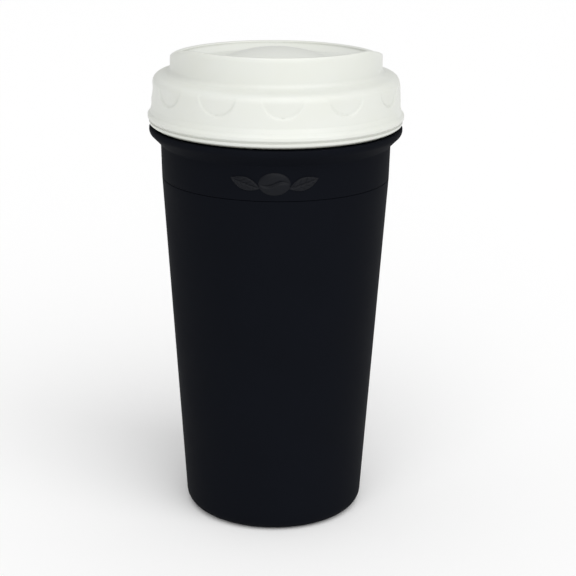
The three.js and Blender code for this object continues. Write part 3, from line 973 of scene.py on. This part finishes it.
def makeSipSeal():
    section = filleted([
        (sipInner - dial["sealBorder"], dialBottom, 0.3),
        (sipOuter + dial["sealBorder"], dialBottom, 0.3),
        (sipOuter + dial["sealBorder"], dialBottom + dial["sealThickness"], 0.2),
        (sipInner - dial["sealBorder"], dialBottom + dial["sealThickness"], 0.2),
    ], 3)
    return swept("sipSeal", lambda share: section, -dial["sealDegrees"], dial["sealDegrees"], 24)


def makeVentSeal():
    radius = lid["ventRadius"] + dial["ventSealBorder"]
    outline = filleted([
        (0, dialBottom),
        (radius, dialBottom, 0.3),
        (radius, dialBottom + dial["sealThickness"], 0.2),
        (0, dialBottom + dial["sealThickness"]),
    ], 4)
    obj = turned("ventSeal", outline, sides=48)
    for vertex in obj.data.vertices:
        vertex.co.y += toMetres(ventDistance)
    return obj


def makeStemRing():
    low, high = bottomOf("stem_o_ring"), topOf("stem_o_ring")
    middle, half = (low + high) / 2, (high - low) / 2
    centre = radiusOf("stem_o_ring") - half
    angles = [2 * math.pi * k / 24 for k in range(24)]
    section = [(centre + half * math.cos(a), middle + half * math.sin(a)) for a in angles]
    return turned("stemRing", section, 96)


def makeClip():
    low, high = bottomOf("stem_clip"), topOf("stem_clip")
    inner = dial["clipNeck"] + dial["stemFit"]
    gap = dial["clipMouth"]
    section = filleted([(inner, low, 0.15), (dial["clipRadius"], low, 0.25),
                        (dial["clipRadius"], high, 0.25), (inner, high, 0.15)], 3)
    return swept("stemClip", lambda share: section, 180 + gap, 540 - gap, 72)


for made, node in ((makeSipSeal(), "sip_seal"), (makeVentSeal(), "vent_seal")):
    finished(rotated(made, collar["restTurn"]), siliconeRubber, "dial", "silicone", node)
finished(makeStemRing(), siliconeRubber, "lid", "silicone", "stem_o_ring")
finished(rotated(makeClip(), collar["restTurn"]), acetal, "dial", "clip_plastic", "stem_clip")
print("dial ready")


# Studio

studio = {
    "floorColour": "#FFFFFF",
    "floorSize": 120,           # metres, so that its far edge stays out of low views
    "cameraDistance": 560,
    "cameraHeight": 258.6,
    "cameraSide": 4.9,
    "cameraPitch": 17.36,       # degrees below level
    "cameraRoll": 0.53,
    "lens": 98.67,
    "worldStrength": 0.56,
    "sunStrength": 2.05,
    "sunSpread": 75,            # degrees across, so that shadows are soft
    "sunPlace": (0.28, -1, 1.0),
}


def makeFloor():
    half = studio["floorSize"] / 2
    mesh = bpy.data.meshes.new("floor")
    corners = [(-half, -half, 0), (half, -half, 0), (half, half, 0), (-half, half, 0)]
    mesh.from_pydata(corners, [], [(0, 1, 2, 3)])
    floor = bpy.data.objects.new("floor", mesh)
    scene.collection.objects.link(floor)
    material, tree = newMaterial("paleFloor")
    shader = addNode(tree, "ShaderNodeBsdfPrincipled",
                     {"Base Color": toLinear(studio["floorColour"]), "Roughness": 0.9, "IOR": 1.3})
    addNode(tree, "ShaderNodeOutputMaterial", None, {"Surface": shader.outputs["BSDF"]})
    mesh.materials.append(material)


def makeSoftLight():
    light = bpy.data.lights.new("softLight", "SUN")
    light.energy = studio["sunStrength"]
    light.angle = math.radians(studio["sunSpread"])
    obj = bpy.data.objects.new("softLight", light)
    obj.location = studio["sunPlace"]
    obj.rotation_euler = (-Vector(studio["sunPlace"])).to_track_quat("-Z", "Y").to_euler()
    scene.collection.objects.link(obj)


def makeCamera():
    camera = bpy.data.cameras.new("camera")
    camera.sensor_width = 36
    camera.lens = studio["lens"]
    camera.clip_start = 0.01
    obj = bpy.data.objects.new("camera", camera)
    place = Vector((studio["cameraSide"], -studio["cameraDistance"], studio["cameraHeight"])) / 1000
    obj.matrix_world = (Matrix.Translation(place)
                        @ Matrix.Rotation(math.radians(90 - studio["cameraPitch"]), 4, "X")
                        @ Matrix.Rotation(math.radians(studio["cameraRoll"]), 4, "Z"))
    scene.collection.objects.link(obj)
    scene.camera = obj


makeFloor()
makeCamera()
world = bpy.data.worlds.new("studioWorld")
world.use_nodes = True
world.node_tree.nodes["Background"].inputs["Color"].default_value = (1, 1, 1, 1)
world.node_tree.nodes["Background"].inputs["Strength"].default_value = studio["worldStrength"]
scene.world = world
makeSoftLight()
scene.view_settings.view_transform = "Standard"
print("studio ready")
